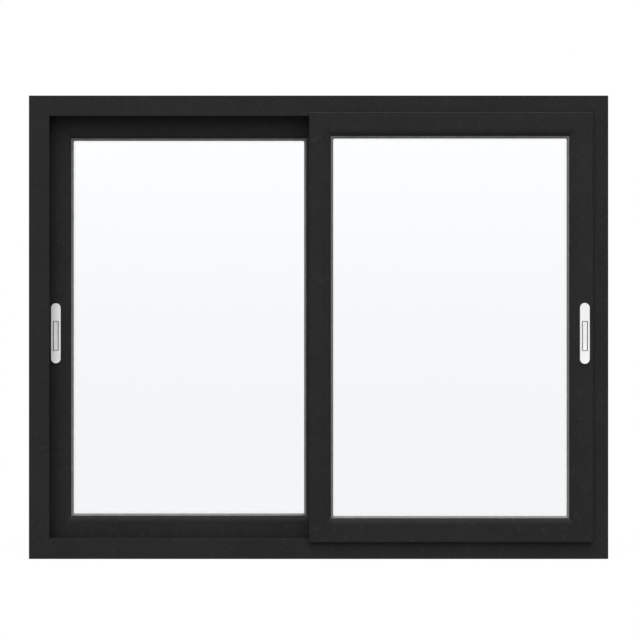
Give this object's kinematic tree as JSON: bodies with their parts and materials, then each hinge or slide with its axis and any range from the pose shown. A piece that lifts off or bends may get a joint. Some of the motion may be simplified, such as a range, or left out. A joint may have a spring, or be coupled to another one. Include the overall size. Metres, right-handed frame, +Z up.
{
  "type": "horizontal sliding window",
  "caption": "Horizontal sliding window with a dark mitred frame, a recessed left sash, a proud right sash, double glazing and a flush pull on each outer stile.",
  "frame": {"origin": "middle of the sill's underside, at mid depth of the frame", "axes": "+X to the right seen from indoors, +Y outdoors, +Z up; the viewer stands at -Y"},
  "size_m": [1.5, 0.0995, 1.2],
  "materials": {
    "frame_profile": "fine grained anthracite film",
    "sash_profile": "fine grained anthracite film",
    "glazing_bead": "fine grained anthracite film",
    "drain_cover": "matt moulded",
    "gasket": "matt grey",
    "glass": "clear float glass",
    "spacer": "mill",
    "setting_block": "matt black",
    "roller_housing": "zinc plated",
    "roller_wheel": "smooth moulded",
    "handle": "light satin coating",
    "latch_case": "zinc plated",
    "interlock": "dark anodised"
  },
  "bodies": {
    "root": {"frame_head": "frame_profile", "frame_sill": "frame_profile", "frame_jamb_left": "frame_profile", "frame_jamb_right": "frame_profile", "sill_drain_covers": "drain_cover", "left_sash_top_rail": "sash_profile", "left_sash_bottom_rail": "sash_profile", "left_sash_outer_stile": "sash_profile", "left_sash_meeting_stile": "sash_profile", "left_sash_bead_top": "glazing_bead", "left_sash_bead_bottom": "glazing_bead", "left_sash_bead_outer": "glazing_bead", "left_sash_bead_meeting": "glazing_bead", "left_sash_gasket_indoor": "gasket", "left_sash_gasket_outdoor": "gasket", "left_sash_pane_indoor": "glass", "left_sash_pane_outdoor": "glass", "left_sash_spacer": "spacer", "left_sash_setting_blocks": "setting_block", "left_sash_roller_housings": "roller_housing", "left_sash_roller_wheels": "roller_wheel", "left_sash_handle_plate": "handle", "left_sash_latch_tongue": "handle", "left_sash_latch_case": "latch_case", "left_sash_meeting_cover": "sash_profile", "left_sash_interlock": "interlock", "right_sash_top_rail": "sash_profile", "right_sash_bottom_rail": "sash_profile", "right_sash_outer_stile": "sash_profile", "right_sash_meeting_stile": "sash_profile", "right_sash_bead_top": "glazing_bead", "right_sash_bead_bottom": "glazing_bead", "right_sash_bead_outer": "glazing_bead", "right_sash_bead_meeting": "glazing_bead", "right_sash_gasket_indoor": "gasket", "right_sash_gasket_outdoor": "gasket", "right_sash_pane_indoor": "glass", "right_sash_pane_outdoor": "glass", "right_sash_spacer": "spacer", "right_sash_setting_blocks": "setting_block", "right_sash_roller_housings": "roller_housing", "right_sash_roller_wheels": "roller_wheel", "right_sash_handle_plate": "handle", "right_sash_latch_tongue": "handle", "right_sash_latch_case": "latch_case", "right_sash_meeting_cover": "sash_profile", "right_sash_interlock": "interlock"}
  },
  "joints": []
}
